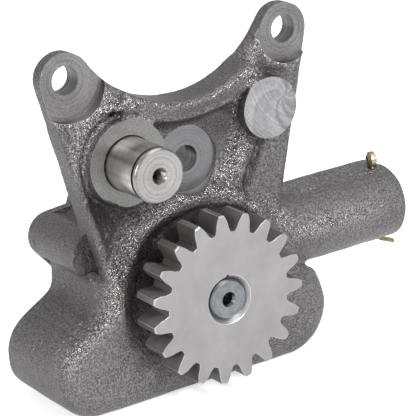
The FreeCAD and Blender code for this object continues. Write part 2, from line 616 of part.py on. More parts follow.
def pump_body():
    right_ear, left_ear = (EAR_X, EAR_HEIGHT), (-EAR_X, EAR_HEIGHT)
    third = (0, THIRD_BOLT_HEIGHT)
    pad = cylinder_y(PAD_CENTRE, PAD_DIAMETER / 2, PAD_Y, PLATE_REAR_Y - 1)
    casting = union([housing_block(), rear_flange(), mounting_plate(), edge_rib(), saddle_rim(),
                     idler_boss(), pad, relief_tube()])
    near = RIM_FRONT_Y - 5
    casting = casting.cut([
        cylinder_y((0, 0), GEAR_RECESS_RADIUS, near, GEAR_RECESS_Y),
        cylinder_y(right_ear, RIGHT_EAR_FACE_RADIUS, near, EAR_FACE_Y),
        cylinder_y(left_ear, LEFT_EAR_FACE_RADIUS, near, EAR_FACE_Y),
        cylinder_y(third, SPOTFACE_DIAMETER / 2, near, SPOTFACE_Y),
    ])
    casting = casting.fuse(cylinder_y((0, 0), SHAFT_BOSS_DIAMETER / 2, SHAFT_BOSS_Y, GEAR_RECESS_Y + 1))
    idler_bore = IDLER_SPIGOT_RADIUS + PRESS_FIT
    ear_hole, third_hole = EAR_HOLE_DIAMETER / 2, THIRD_BOLT_HOLE_DIAMETER / 2
    cuts = [
        cylinder_y(right_ear, ear_hole, near, PLATE_REAR_Y),
        cylinder_y(left_ear, ear_hole, near, PLATE_REAR_Y),
        cylinder_y(third, third_hole, near, PLATE_REAR_Y),
        cone_y(third, third_hole + HOLE_CHAMFER, third_hole, SPOTFACE_Y, SPOTFACE_Y + HOLE_CHAMFER),
        cylinder_y(IDLER_CENTRE, idler_bore, near, PLATE_REAR_Y),
        cone_y(IDLER_CENTRE, idler_bore + IDLER_BORE_CHAMFER, idler_bore,
               IDLER_FACE_Y, IDLER_FACE_Y + IDLER_BORE_CHAMFER),
        cylinder_y((0, 0), BUSH_RADIUS + PRESS_FIT, near, CHAMBER_FRONT_Y),
        cylinder_y((0, ROTOR_OFFSET), CHAMBER_RADIUS, CHAMBER_FRONT_Y, BODY_REAR_Y),
        kidney(*OUTLET_KIDNEY_ANGLES, CHAMBER_FRONT_Y - KIDNEY_DEPTH, CHAMBER_FRONT_Y),
        seal_ring(0, BODY_REAR_Y - SEAL_DEPTH),
    ]
    for place in cover_screw_places():
        radius = SCREW_DIAMETER / 2 + THREAD_CLEARANCE
        cuts.append(cylinder_y(place, radius, COVER_REAR_Y - SCREW_LENGTH - 1, BODY_REAR_Y))
    for place in dowel_places():
        cuts.append(cylinder_y(place, DOWEL_DIAMETER / 2 + PRESS_FIT, BODY_REAR_Y - DOWEL_LENGTH + COVER_THICKNESS,
                               BODY_REAR_Y))
    return casting.cut(cuts + relief_passages() + delivery_passages())


def rear_cover():
    """The end plate with the blind hub for the rear bush and the suction flange."""
    front, rear = BODY_REAR_Y, COVER_REAR_Y
    centre = (0, ROTOR_OFFSET)
    core = (*centre, CHAMBER_RADIUS)
    lugs = [(*LEFT_BOSS, BOSS_RADIUS), (*TOP_BOSS, BOSS_RADIUS)]
    lugs += [(*place, LOWER_LUG_RADIUS) for place in LOWER_SCREWS]
    plate = union([cylinder_y(centre, COVER_RADIUS, front, rear)] + [belt(core, lug, front, rear) for lug in lugs])
    plate = plate.makeFillet(COVER_LUG_FILLET, sharp_edges_along_y(plate))
    x, z = SUCTION_CENTRE
    neck_rear = rear + SUCTION_NECK_HEIGHT
    neck = (x, z, SUCTION_NECK_DIAMETER / 2)
    half = SUCTION_SCREW_SPACING / 2
    ends = [(x, z - half, SUCTION_LUG_DIAMETER / 2), (x, z + half, SUCTION_LUG_DIAMETER / 2)]
    hub = cylinder_y((0, 0), COVER_HUB_DIAMETER / 2, front, HUB_REAR_Y)
    cover = union([plate, hub] + [belt(neck, end, front, neck_rear) for end in ends])
    cuts = [
        cylinder_y((0, 0), BUSH_RADIUS + PRESS_FIT, front, REAR_BUSH_REAR_Y),
        cylinder_y((x, z), SUCTION_BORE_DIAMETER / 2, front, neck_rear),
        kidney(*INLET_KIDNEY_ANGLES, front, front + INLET_KIDNEY_DEPTH),
    ]
    for end in ends:
        cuts.append(cylinder_y(end[:2], PORT_SCREW_DIAMETER / 2, neck_rear - PORT_SCREW_DEPTH, neck_rear))
    for place in cover_screw_places():
        cuts.append(cylinder_y(place, SCREW_DIAMETER / 2 + THREAD_CLEARANCE, front, rear))
    for place in dowel_places():
        cuts.append(cylinder_y(place, DOWEL_DIAMETER / 2 + PRESS_FIT, front, rear))
    return cover.cut(cuts)


def cover_screws():
    """Hexagon-head screws that hold the cover on the body."""
    corner = SCREW_HEAD_ACROSS_FLATS / math.sqrt(3)
    screws = []
    for place in cover_screw_places():
        shank = cylinder_y(place, SCREW_DIAMETER / 2, COVER_REAR_Y - SCREW_LENGTH, COVER_REAR_Y)
        corners = [polar(corner, math.radians(60 * n), place) for n in range(6)]
        head = polygon_prism([(c.x, c.z) for c in corners], COVER_REAR_Y, COVER_REAR_Y + SCREW_HEAD_HEIGHT)
        screws.append(shank.fuse(head))
    return Part.makeCompound(screws)


def cover_dowels():
    front, rear = BODY_REAR_Y - DOWEL_LENGTH + COVER_THICKNESS, COVER_REAR_Y
    dowels = [cylinder_y(place, DOWEL_DIAMETER / 2, front, rear) for place in dowel_places()]
    return Part.makeCompound(dowels)


def idler_shaft():
    """The ground stub that carries the idler gear, pressed into the plate by its spigot."""
    x, z = IDLER_CENTRE
    shaft = cylinder_y((0, 0), IDLER_RADIUS, IDLER_END_Y, IDLER_FACE_Y)
    shaft = shaft.makeChamfer(IDLER_CHAMFER, edges_in_plane(shaft, IDLER_END_Y))
    shaft = shaft.fuse(cylinder_y((0, 0), IDLER_SPIGOT_RADIUS, IDLER_FACE_Y, PLATE_REAR_Y))
    groove = IDLER_END_Y + IDLER_COLLAR
    shaft = shaft.cut(ring_y((0, 0), IDLER_RADIUS - CIRCLIP_GROOVE_DEPTH, IDLER_RADIUS + 1,
                             groove, groove + CIRCLIP_GROOVE_WIDTH))
    shaft = shaft.cut(centre_hole(IDLER_END_Y, IDLER_CENTRE_DRILL_DIAMETER, IDLER_CENTRE_DRILL_DEPTH,
                                  IDLER_CENTRE_SINK_DIAMETER))
    shaft.translate(V(x, 0, z))
    return shaft


def relief_plunger():
    """A cup whose closed nose seats on the shoulder of the valve bore."""
    outer = RELIEF_BORE_RADIUS - PLUNGER_FIT
    cup = cylinder_x(TUBE_Y, TUBE_Z, outer, RELIEF_SEAT_X, RELIEF_SEAT_X + PLUNGER_LENGTH)
    return cup.cut(cylinder_x(TUBE_Y, TUBE_Z, PLUNGER_BORE_RADIUS, SPRING_START_X, RELIEF_SEAT_X + PLUNGER_LENGTH))


def relief_spring():
    """A coil of flat-sided wire between the plunger's cup and the spring cap."""
    length = SPRING_CAP_INNER_X - SPRING_START_X - SPRING_WIRE - 2 * SPRING_CAP_FIT
    half = SPRING_WIRE / 2
    steps = SPRING_STEPS_PER_TURN * SPRING_TURNS
    path = []
    for n in range(steps + 1):
        angle = 2 * math.pi * n / SPRING_STEPS_PER_TURN
        path.append(V(SPRING_RADIUS * math.cos(angle), SPRING_RADIUS * math.sin(angle), length * n / steps))
    corners = [V(SPRING_RADIUS + x * half, 0, z * half) for x, z in ((-1, -1), (1, -1), (1, 1), (-1, 1))]
    profile = Part.makePolygon(corners + corners[:1])
    coil = Part.makePolygon(path).makePipeShell([profile], True, False, 1)
    coil.rotate(V(0, 0, 0), V(0, 1, 0), 90)
    coil.translate(V(SPRING_START_X + half + SPRING_CAP_FIT, TUBE_Y, TUBE_Z))
    return coil


def spring_cap():
    """The disc that the spring bears on, with a pilot inside the coil; the split pin holds it."""
    disc = cylinder_x(TUBE_Y, TUBE_Z, RELIEF_BORE_RADIUS - SPRING_CAP_FIT, SPRING_CAP_INNER_X, SPRING_CAP_OUTER_X)
    pilot_radius = SPRING_RADIUS - SPRING_WIRE / 2 - SPRING_GUIDE_CLEARANCE
    pilot = cylinder_x(TUBE_Y, TUBE_Z, pilot_radius, SPRING_CAP_INNER_X - SPRING_CAP_PILOT, SPRING_CAP_INNER_X)
    return disc.fuse(pilot).removeSplitter()


def half_round(radius):
    """The section of half-round wire in three flats, its back on the Y axis and its crown towards +X."""
    corners = [V(radius * math.cos(a), radius * math.sin(a), 0) for a in map(math.radians, (-90, -30, 30, 90))]
    return Part.makePolygon(corners + corners[:1])


def split_pin_legs():
    """The long half of the wire bent along the tube, and the short half cut off below it."""
    bend_z = TUBE_Z - TUBE_RADIUS + PIN_HOLE_CLEARANCE + 0.1
    droop = math.radians(PIN_LEG_DROOP)
    centre = (PIN_BEND_RADIUS, bend_z)
    bend_end = polar(PIN_BEND_RADIUS, math.pi * 1.5 - droop, centre)
    leg_end = bend_end + V(math.cos(droop), 0, -math.sin(droop)) * PIN_LEG_LENGTH
    path = Part.Wire([arc(centre, PIN_BEND_RADIUS, math.pi, math.pi * 1.5 - droop), line(bend_end, leg_end)])
    profile = half_round(PIN_DIAMETER / 2)
    profile.translate(V(0, 0, bend_z))
    long_leg = path.makePipeShell([profile], True, False)
    other = half_round(PIN_DIAMETER / 2)
    other.rotate(V(0, 0, 0), V(0, 0, 1), 180)
    other.translate(V(0, 0, bend_z))
    short_leg = Part.Face(other).extrude(V(0, 0, -PIN_SHORT_LEG_LENGTH))
    stem = Part.makeCylinder(PIN_DIAMETER / 2, TUBE_Z + TUBE_RADIUS - PIN_NECK_DEPTH - bend_z, V(0, 0, bend_z))
    legs = union([stem, long_leg, short_leg])
    legs.translate(V(PIN_X, TUBE_Y, 0))
    return legs


def split_pin_loop():
    """The eye of half-round wire: two easing arcs out of the stem into a round loop."""
    half = PIN_DIAMETER / 4
    reach = PIN_LOOP_RADIUS + PIN_LOOP_EASE
    rise = math.sqrt(reach ** 2 - (half + PIN_LOOP_EASE) ** 2)
    swing = math.atan2(rise, half + PIN_LOOP_EASE)
    edges = [
        arc((half + PIN_LOOP_EASE, 0), PIN_LOOP_EASE, math.pi, math.pi - swing),
        arc((0, rise), PIN_LOOP_RADIUS, -swing, math.pi + swing),
        arc((-half - PIN_LOOP_EASE, 0), PIN_LOOP_EASE, swing, 0),
    ]
    profile = half_round(PIN_DIAMETER / 2)
    eye = Part.Wire(edges).makePipeShell([profile], True, False)
    eye.rotate(V(0, 0, 0), V(0, 0, 1), PIN_TURN)
    eye.translate(V(PIN_X, TUBE_Y, TUBE_Z + TUBE_RADIUS - PIN_NECK_DEPTH))
    return eye


def split_pin():
    return union([split_pin_legs(), split_pin_loop()])


def nodes():
    """Every sub-part by its node's name."""
    plug_end = PLUG_INNER_X + PLUG_LENGTH
    return {
        "pump_body": pump_body(),
        "rear_cover": rear_cover(),
        "cover_seal": seal_ring(SEAL_CLEARANCE, BODY_REAR_Y - SEAL_DEPTH),
        "cover_screws": cover_screws(),
        "cover_dowels": cover_dowels(),
        "drive_shaft": drive_shaft(),
        "drive_gear": drive_gear(),
        "gear_key": key_block(*gear_key_span()),
        "thrust_washer": ring_y((0, 0), SHAFT_RADIUS + RUNNING_FIT, THRUST_WASHER_DIAMETER / 2,
                                SHAFT_BOSS_Y - THRUST_WASHER_THICKNESS, SHAFT_BOSS_Y),
        "front_bush": ring_y((0, 0), SHAFT_RADIUS + RUNNING_FIT, BUSH_RADIUS, SHAFT_BOSS_Y, CHAMBER_FRONT_Y),
        "rear_bush": ring_y((0, 0), SHAFT_RADIUS + RUNNING_FIT, BUSH_RADIUS, REAR_BUSH_FRONT_Y, REAR_BUSH_REAR_Y),
        "inner_rotor": inner_rotor(),
        "rotor_key": key_block(*rotor_key_span()),
        "outer_rotor": outer_rotor(),
        "idler_shaft": idler_shaft(),
        "relief_plunger": relief_plunger(),
        "relief_spring": relief_spring(),
        "spring_cap": spring_cap(),
        "split_pin": split_pin(),
        "gallery_plug": cylinder_x(GALLERY_Y, GALLERY_Z, PLUG_DIAMETER / 2, PLUG_INNER_X, plug_end),
    }


def main():
    os.makedirs("parts", exist_ok=True)
    for name, shape in nodes().items():
        shape.exportStep(f"parts/{name}.step")
        print(name, shape.isValid(), len(shape.Solids), round(shape.Volume, 1))


main()
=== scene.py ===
import bpy
import math
import numpy as np
from mathutils import Matrix, Vector
from mathutils.noise import noise as noiseOf


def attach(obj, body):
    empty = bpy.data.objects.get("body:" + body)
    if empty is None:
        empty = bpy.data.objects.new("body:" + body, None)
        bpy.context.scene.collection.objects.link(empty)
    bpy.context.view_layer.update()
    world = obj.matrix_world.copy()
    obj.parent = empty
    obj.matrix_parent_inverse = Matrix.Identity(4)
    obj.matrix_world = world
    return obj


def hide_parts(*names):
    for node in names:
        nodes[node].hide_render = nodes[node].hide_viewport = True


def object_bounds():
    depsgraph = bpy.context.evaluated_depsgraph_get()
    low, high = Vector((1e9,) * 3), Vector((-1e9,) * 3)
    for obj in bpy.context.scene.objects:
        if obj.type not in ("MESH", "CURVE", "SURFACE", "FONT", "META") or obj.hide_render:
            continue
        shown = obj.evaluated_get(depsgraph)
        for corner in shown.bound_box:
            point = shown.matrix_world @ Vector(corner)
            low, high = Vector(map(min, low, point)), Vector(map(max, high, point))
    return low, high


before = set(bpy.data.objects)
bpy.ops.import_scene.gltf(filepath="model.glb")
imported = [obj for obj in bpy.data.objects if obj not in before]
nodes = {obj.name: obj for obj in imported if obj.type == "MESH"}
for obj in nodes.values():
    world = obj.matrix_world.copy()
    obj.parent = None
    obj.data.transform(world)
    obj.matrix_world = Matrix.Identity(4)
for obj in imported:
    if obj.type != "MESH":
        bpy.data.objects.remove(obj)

cadBox = [list(corner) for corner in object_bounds()]
mm = 0.001
barSides = 72
print("stage: frame loaded")


def clearSelection():
    if bpy.context.mode != "OBJECT":
        bpy.ops.object.mode_set(mode="OBJECT")
    bpy.ops.object.select_all(action="DESELECT")


def makeActive(obj):
    clearSelection()
    obj.select_set(True)
    bpy.context.view_layer.objects.active = obj


def rename(obj, name):
    obj.name = name
    obj.data.name = name
    return obj


def settle(obj, name):
    makeActive(obj)
    bpy.ops.object.transform_apply(location=True, rotation=True, scale=True)
    return rename(obj, name)


def editAll(obj):
    makeActive(obj)
    bpy.ops.object.mode_set(mode="EDIT")
    bpy.ops.mesh.select_mode(type="FACE")
    bpy.ops.mesh.select_all(action="SELECT")


def leaveEdit():
    bpy.ops.object.mode_set(mode="OBJECT")


def joinAll(objs, name):
    clearSelection()
    for obj in objs:
        obj.select_set(True)
    bpy.context.view_layer.objects.active = objs[0]
    bpy.ops.object.join()
    return rename(bpy.context.view_layer.objects.active, name)


def applyModifier(obj, kind, **settings):
    makeActive(obj)
    mod = obj.modifiers.new(kind.lower(), kind)
    for key, value in settings.items():
        setattr(mod, key, value)
    bpy.ops.object.modifier_apply(modifier=mod.name)


def cutWith(obj, cutter):
    applyModifier(obj, "BOOLEAN", operation="DIFFERENCE", solver="EXACT", material_mode="TRANSFER",
                  object=cutter)
    bpy.data.objects.remove(cutter)


def smoothByAngle(obj, degrees):
    makeActive(obj)
    bpy.ops.object.shade_smooth_by_angle(angle=math.radians(degrees))


def selectFaces(obj, test):
    editAll(obj)
    bpy.ops.mesh.select_all(action="DESELECT")
    leaveEdit()
    for face in obj.data.polygons:
        face.select = test(face)
    bpy.ops.object.mode_set(mode="EDIT")


def copyNode(nodeName, name):
    obj = nodes[nodeName].copy()
    obj.data = nodes[nodeName].data.copy()
    obj.parent = None
    for key in list(obj.keys()):
        del obj[key]
    bpy.context.collection.objects.link(obj)
    obj.data.materials.clear()
    editAll(rename(obj, name))
    bpy.ops.mesh.remove_doubles(threshold=2e-6)
    leaveEdit()
    return obj


# Sizes and places are given in millimetres; across the axis, a centre is (y, z), (x, z) or (x, y)
def roundBar(axis, centre, radius, start, end):
    first, second = centre
    middle = (start + end) / 2
    place = {"x": (middle, first, second), "y": (first, middle, second), "z": (first, second, middle)}[axis]
    turn = {"x": (0, math.pi / 2, 0), "y": (-math.pi / 2, 0, 0), "z": (0, 0, 0)}[axis]
    clearSelection()
    bpy.ops.mesh.primitive_cylinder_add(vertices=barSides, radius=radius * mm, depth=(end - start) * mm,
                                        location=[c * mm for c in place], rotation=turn)
    return settle(bpy.context.object, "bar")


def block(place, size, name, lean=0):
    clearSelection()
    bpy.ops.mesh.primitive_cube_add(size=1, location=[c * mm for c in place],
                                    rotation=(0, math.radians(-lean), 0))
    slab = bpy.context.object
    slab.scale = [c * mm for c in size]
    return settle(slab, name)


def capsule(ends):
    balls = []
    for place, radius in ends:
        clearSelection()
        bpy.ops.mesh.primitive_ico_sphere_add(subdivisions=3, radius=radius * mm,
                                              location=[c * mm for c in place])
        balls.append(settle(bpy.context.object, "ball"))
    bar = joinAll(balls, "capsule")
    editAll(bar)
    bpy.ops.mesh.convex_hull()
    leaveEdit()
    return bar


# Camera: the photograph's viewpoint, with its place in metres
shot = {
    "place": (-0.40118, -0.64776, 0.29498),
    "right": (0.83709, -0.54150, -0.07790),
    "up": (0.23674, 0.23018, 0.94391),
    "back": (-0.49319, -0.80858, 0.32088),
    "lens": 188.76, "clipStart": 0.01,
}
turned = Matrix((shot["right"], shot["up"], shot["back"])).transposed().to_euler()
bpy.ops.object.camera_add(location=shot["place"], rotation=turned)
camera = bpy.context.object
camera.name = "photoCamera"
camera.data.lens = shot["lens"]
camera.data.clip_start = shot["clipStart"]
bpy.context.scene.camera = camera
bpy.context.scene.view_settings.view_transform = "Standard"


# Materials; in a ramp's stops, a single number is a grey
def newMaterial(name):
    mat = bpy.data.materials.new(name)
    mat.use_nodes = True
    return mat, mat.node_tree


def addNode(tree, kind, **settings):
    node = tree.nodes.new(kind)
    for key, value in settings.items():
        if key in node.inputs:
            node.inputs[key].default_value = value
        else:
            setattr(node, key, value)
    return node


def feed(tree, socket, value):
    if isinstance(value, bpy.types.NodeSocket):
        tree.links.new(value, socket)
    elif isinstance(value, tuple):
        socket.default_value = (*value, 1)
    else:
        socket.default_value = value


def noise(tree, coords, scale, detail=3, rough=0.6, distortion=0):
    node = addNode(tree, "ShaderNodeTexNoise", Scale=scale, Detail=detail, Roughness=rough,
                   Distortion=distortion)
    tree.links.new(coords, node.inputs["Vector"])
    return node.outputs["Fac"]


def ramp(tree, value, stops):
    node = addNode(tree, "ShaderNodeValToRGB")
    elements = node.color_ramp.elements
    while len(elements) < len(stops):
        elements.new(0.5)
    for element, (place, shade) in zip(elements, stops):
        element.position = place
        element.color = (*shade, 1) if isinstance(shade, tuple) else (shade, shade, shade, 1)
    tree.links.new(value, node.inputs["Fac"])
    return node.outputs["Color"]


def mixColour(tree, factor, first, second, blend="MIX"):
    node = addNode(tree, "ShaderNodeMix", data_type="RGBA", blend_type=blend)
    for index, value in ((0, factor), (6, first), (7, second)):  # the mix node's colour sockets are 6 and 7
        feed(tree, node.inputs[index], value)
    return node.outputs[2]


def multiplied(tree, shade, other, share=1.0):
    return mixColour(tree, share, shade, other, "MULTIPLY")


def maths(tree, operation, first, second):
    node = addNode(tree, "ShaderNodeMath", operation=operation)
    feed(tree, node.inputs[0], first)
    feed(tree, node.inputs[1], second)
    return node.outputs[0]


def vectorMaths(tree, operation, first, second=None):
    node = addNode(tree, "ShaderNodeVectorMath", operation=operation)
    tree.links.new(first, node.inputs[0])
    if second is not None:
        node.inputs[1].default_value = second
    return node.outputs["Value" if operation == "LENGTH" else "Vector"]


def spread(tree, value, low, high, start=0, end=1):
    limits = {"From Min": start, "From Max": end, "To Min": low, "To Max": high}
    node = addNode(tree, "ShaderNodeMapRange", **limits)
    tree.links.new(value, node.inputs["Value"])
    return node.outputs["Result"]


def bumps(tree, layers):
    normal = None
    for height, strength, distance in layers:
        node = addNode(tree, "ShaderNodeBump", Strength=strength, Distance=distance)
        tree.links.new(height, node.inputs["Height"])
        if normal is not None:
            tree.links.new(normal, node.inputs["Normal"])
        normal = node.outputs["Normal"]
    return normal


def objectCoords(tree):
    return addNode(tree, "ShaderNodeTexCoord").outputs["Object"]


def besideAxis(tree, coords, centre):
    place = vectorMaths(tree, "SUBTRACT", coords, [c * mm for c in centre])
    return vectorMaths(tree, "MULTIPLY", place, (1, 0, 1))


def attribute(tree, name):
    return addNode(tree, "ShaderNodeAttribute", attribute_name=name).outputs["Fac"]


def darkToLight(tree, value, look):
    return ramp(tree, value, [(0.3, look["dark"]), (0.7, look["light"])])


def fillShader(tree, shade, rough, layers, metallic):
    shader = tree.nodes["Principled BSDF"]
    tree.links.new(shade, shader.inputs["Base Color"])
    tree.links.new(rough, shader.inputs["Roughness"])
    tree.links.new(bumps(tree, layers), shader.inputs["Normal"])
    shader.inputs["Metallic"].default_value = metallic


def castIron(name, look):
    mat, tree = newMaterial(name)
    coords = objectCoords(tree)
    grain = noise(tree, coords, look["grainScale"], detail=2.5)
    lumps = noise(tree, coords, look["lumpScale"])
    patches = noise(tree, coords, look["patchScale"])
    stain = noise(tree, coords, look["stainScale"], detail=2, rough=0.5, distortion=0.6)
    shade = multiplied(tree, darkToLight(tree, patches, look), ramp(tree, grain, look["specks"]))
    brown = maths(tree, "MULTIPLY", ramp(tree, stain, look["stainFade"]), look["stain"])
    shade = mixColour(tree, brown, shade, look["stainColour"])
    paintedSheen, paintedShade, edge = [attribute(tree, key) for key in ("paintedSheen", "paintedShade", "edge")]
    # Painted highlight: the grain is brightened into glints where the first attribute is set, standing in for
    # light on ridges, rims and the tube's top
    shade = mixColour(tree, paintedSheen, shade, multiplied(tree, shade, ramp(tree, grain, look["paintedGlints"])))
    # Painted shade: the colour is darkened where the second attribute is set, for shade in hollows, creases,
    # under ledges and behind the gear
    shade = mixColour(tree, paintedShade, shade, multiplied(tree, shade, look["paintedShade"]))
    # Painted highlight: a light line on the iron where it meets a machined face
    shade = mixColour(tree, maths(tree, "MULTIPLY", edge, look["edgeHighlightShare"]), shade, look["edge"])
    # The same painted-highlight mask also makes the iron a little glossier
    rough = maths(tree, "SUBTRACT", spread(tree, lumps, *look["rough"]),
                  maths(tree, "MULTIPLY", paintedSheen, look["polish"]))
    layers = [(lumps, look["lumpStrength"], look["lumpDepth"]),
              (grain, look["grainStrength"], look["grainDepth"])]
    fillShader(tree, shade, rough, layers, look["metallic"])
    return mat


# Soft light and dark bands that fan out from a point and curl with distance: on the milled pad they follow
# the cutter's swirl, with its sheen painted in as reflection; on the idler's side they are painted
# reflections of the studio
def fanShade(tree, coords, look):
    flat = besideAxis(tree, coords, look["fan"])
    curl = addNode(tree, "ShaderNodeVectorRotate", rotation_type="Y_AXIS")
    tree.links.new(vectorMaths(tree, "NORMALIZE", flat), curl.inputs["Vector"])
    angle = maths(tree, "MULTIPLY", vectorMaths(tree, "LENGTH", flat), look["fanCurl"])
    tree.links.new(angle, curl.inputs["Angle"])
    bands = noise(tree, curl.outputs[0], look["fanScale"], detail=1.5, rough=0.5)
    return ramp(tree, bands, look["fanShades"])


# Tool rings round a centre, or steps along an axis, under smears and grit
turnedLook = {
    "smearScale": 90, "fineScale": 1500, "dirt": 0.6, "grit": 0.5, "bumpDepth": 0.0001, "metallic": 1.0,
    "dirtShades": [(0.3, 0.75), (0.65, 1.08)], "gritShades": [(0.35, 0.78), (0.65, 1.18)],
    "fanShades": [(0.38, 0.7), (0.5, 1.0), (0.62, 1.25)],
}


def turnedSteel(name, **look):
    look = {**turnedLook, **look}
    mat, tree = newMaterial(name)
    coords = objectCoords(tree)
    if "along" in look:
        split = addNode(tree, "ShaderNodeSeparateXYZ")
        tree.links.new(coords, split.inputs[0])
        across = split.outputs[look["along"]]
    else:
        across = vectorMaths(tree, "LENGTH", besideAxis(tree, coords, look["centre"]))
    line = addNode(tree, "ShaderNodeCombineXYZ")
    tree.links.new(maths(tree, "MULTIPLY", across, look["lines"]), line.inputs[0])
    rings = noise(tree, line.outputs[0], 1.0, rough=0.7)
    smear = noise(tree, coords, look["smearScale"])
    fine = noise(tree, coords, look["fineScale"], detail=2)
    shade = darkToLight(tree, rings, look)
    shade = multiplied(tree, shade, ramp(tree, smear, look["dirtShades"]), look["dirt"])
    shade = multiplied(tree, shade, ramp(tree, fine, look["gritShades"]), look["grit"])
    if "fan" in look:
        shade = multiplied(tree, shade, fanShade(tree, coords, look), look["fanShare"])
    layers = [(rings, look["ringStrength"], look["bumpDepth"]),
              (fine, look["fineStrength"], look["bumpDepth"])]
    fillShader(tree, shade, spread(tree, smear, *look["rough"]), layers, look["metallic"])
    return mat


# An even finish with soft clouds and a fine tooth
plainLook = {"fineScale": 600, "cloudScale": 80, "bumpDepth": 0.0001, "metallic": 1.0}


def plainSteel(name, **look):
    look = {**plainLook, **look}
    mat, tree = newMaterial(name)
    coords = objectCoords(tree)
    fine = noise(tree, coords, look["fineScale"])
    shade = darkToLight(tree, noise(tree, coords, look["cloudScale"]), look)
    layers = [(fine, look["strength"], look["bumpDepth"])]
    fillShader(tree, shade, spread(tree, fine, *look["rough"]), layers, look["metallic"])
    return mat


# Part of these colours paint light: brightened glints for highlights, a darkening for shade in hollows, and a
# pale colour for a highlight line beside machined faces
castLook = {
    "dark": (0.152, 0.142, 0.145), "light": (0.205, 0.193, 0.198), "patchScale": 22,
    "grainScale": 1750, "grainStrength": 1.0, "grainDepth": 0.0007,
    "specks": [(0.38, 0.46), (0.5, 0.94), (0.62, 1.62)], "paintedGlints": [(0.42, 0.8), (0.6, 2.2)],
    "lumpScale": 560, "lumpStrength": 0.9, "lumpDepth": 0.0012,
    "stain": 0.22, "stainScale": 45, "stainFade": [(0.6, 0), (0.78, 1)], "stainColour": (0.17, 0.125, 0.09),
    "paintedShade": (0.33, 0.31, 0.3), "edge": (0.52, 0.51, 0.515), "edgeHighlightShare": 0.9,
    "rough": (0.24, 0.38), "polish": 0.08, "metallic": 0.9,
}
earLook = {
    "lines": 1400, "dark": (0.12, 0.116, 0.118), "light": (0.29, 0.284, 0.287), "rough": (0.34, 0.5),
    "grit": 0.9, "dirt": 1.0, "smearScale": 60, "ringStrength": 0.35, "fineStrength": 0.35,
}
idlerPlace = (-28.36, 0, 56.8)
finishes = {
    "casting": castIron("castIronBlasted", castLook),
    "millEar": turnedSteel("milledLeftEar", centre=(-47.6, 0, 91.2), **earLook),
    "millEarRight": turnedSteel("milledRightEar", centre=(47.6, 0, 91.2), **earLook),
    # The pad's fan bands follow the cutter's swirl; their light and dark is painted reflection
    "millPad": turnedSteel(
        "milledPad", centre=(52, 0, 78), lines=900, dark=(0.22, 0.217, 0.223), light=(0.37, 0.366, 0.374),
        rough=(0.3, 0.46), ringStrength=0.35, fineStrength=0.35, fineScale=1100,
        fan=(41.5, 0, 67.5), fanShare=0.7, fanScale=2.3, fanCurl=95),
    "millBoss": turnedSteel(
        "milledBoss", centre=idlerPlace, lines=2500, dark=(0.17, 0.168, 0.166), light=(0.27, 0.268, 0.263),
        grit=0.9, rough=(0.36, 0.5), ringStrength=0.25, fineStrength=0.35),
    "spotface": turnedSteel(
        "spotFace", centre=(0, 0, 50.5), lines=1500, dark=(0.13, 0.13, 0.135), light=(0.25, 0.25, 0.26),
        rough=(0.32, 0.46), ringStrength=0.35, fineStrength=0.3),
    "drilled": turnedSteel(
        "drilledIron", along="Y", lines=800, dark=(0.05, 0.05, 0.051), light=(0.4, 0.398, 0.403),
        rough=(0.36, 0.5), ringStrength=0.9, fineStrength=0.4),
    "gearFace": plainSteel(
        "gearSteelFace", dark=(0.3, 0.287, 0.294), light=(0.365, 0.35, 0.358), rough=(0.36, 0.5),
        fineScale=900, strength=0.25),
    "gearFlank": plainSteel(
        "gearSteelFlank", dark=(0.1, 0.093, 0.089), light=(0.18, 0.172, 0.167), rough=(0.35, 0.5),
        fineScale=700, strength=0.3, metallic=0.45),
    # A light colour painted on the gear's bevelled edges as their highlight
    "gearEdge": plainSteel(
        "gearSteelEdge", dark=(0.5, 0.49, 0.495), light=(0.62, 0.61, 0.615), rough=(0.3, 0.4), strength=0.1),
    "shaft": turnedSteel(
        "turnedShaftEnd", centre=(0, 0, 0), lines=2600, dark=(0.12, 0.128, 0.138), light=(0.33, 0.342, 0.36),
        rough=(0.24, 0.38), dirt=1.0, smearScale=240, ringStrength=0.3, fineStrength=0.15),
    "idler": turnedSteel(
        "groundIdlerEnd", centre=idlerPlace, lines=1500, dark=(0.2, 0.196, 0.194),
        light=(0.45, 0.444, 0.436), rough=(0.22, 0.34), ringStrength=0.4, fineStrength=0.08),
    # A lighter copy of the idler's steel for its side, with bands painted along it as reflections of the
    # studio
    "idlerSide": turnedSteel(
        "groundIdlerSide", along="Y", lines=1500, dark=(0.42, 0.412, 0.398), light=(0.6, 0.59, 0.572),
        rough=(0.28, 0.4), ringStrength=0.12, fineStrength=0.05,
        fan=idlerPlace, fanShare=1.0, fanScale=2.9, fanCurl=0),
    # Near black: painted as the shadow in the idler's circlip groove and in the ring round its root; the
    # gear's nick is near black too
    "groove": plainSteel(
        "nearBlackGroove", dark=(0.01, 0.01, 0.01), light=(0.02, 0.02, 0.019), rough=(0.4, 0.5), strength=0.2,
        metallic=0.3),
    "machined": plainSteel(
        "machinedSteel", dark=(0.5, 0.5, 0.51), light=(0.6, 0.6, 0.61), rough=(0.28, 0.4), strength=0.2),
    "sintered": plainSteel(
        "sinteredSteel", dark=(0.3, 0.3, 0.31), light=(0.4, 0.4, 0.41), rough=(0.4, 0.55), fineScale=2200,
        strength=0.4),
    "zinc": plainSteel(
        "zincPlate", dark=(0.5, 0.53, 0.57), light=(0.62, 0.65, 0.68), rough=(0.26, 0.38), strength=0.15),
    "yellow": plainSteel(
        "yellowZinc", dark=(0.3, 0.255, 0.15), light=(0.55, 0.49, 0.33), rough=(0.26, 0.42), strength=0.2,
        cloudScale=300),
    "bronze": plainSteel(
        "bearingBronze", dark=(0.42, 0.29, 0.15), light=(0.52, 0.37, 0.2), rough=(0.3, 0.42), strength=0.2),
    "rubber": plainSteel(
        "sealRubber", dark=(0.02, 0.02, 0.02), light=(0.035, 0.035, 0.035), rough=(0.5, 0.65), strength=0.3,
        metallic=0.0),
}
print("stage: materials made")


def dress(obj, *keys):
    obj.data.materials.clear()
    for key in keys:
        obj.data.materials.append(finishes[key])
    return obj


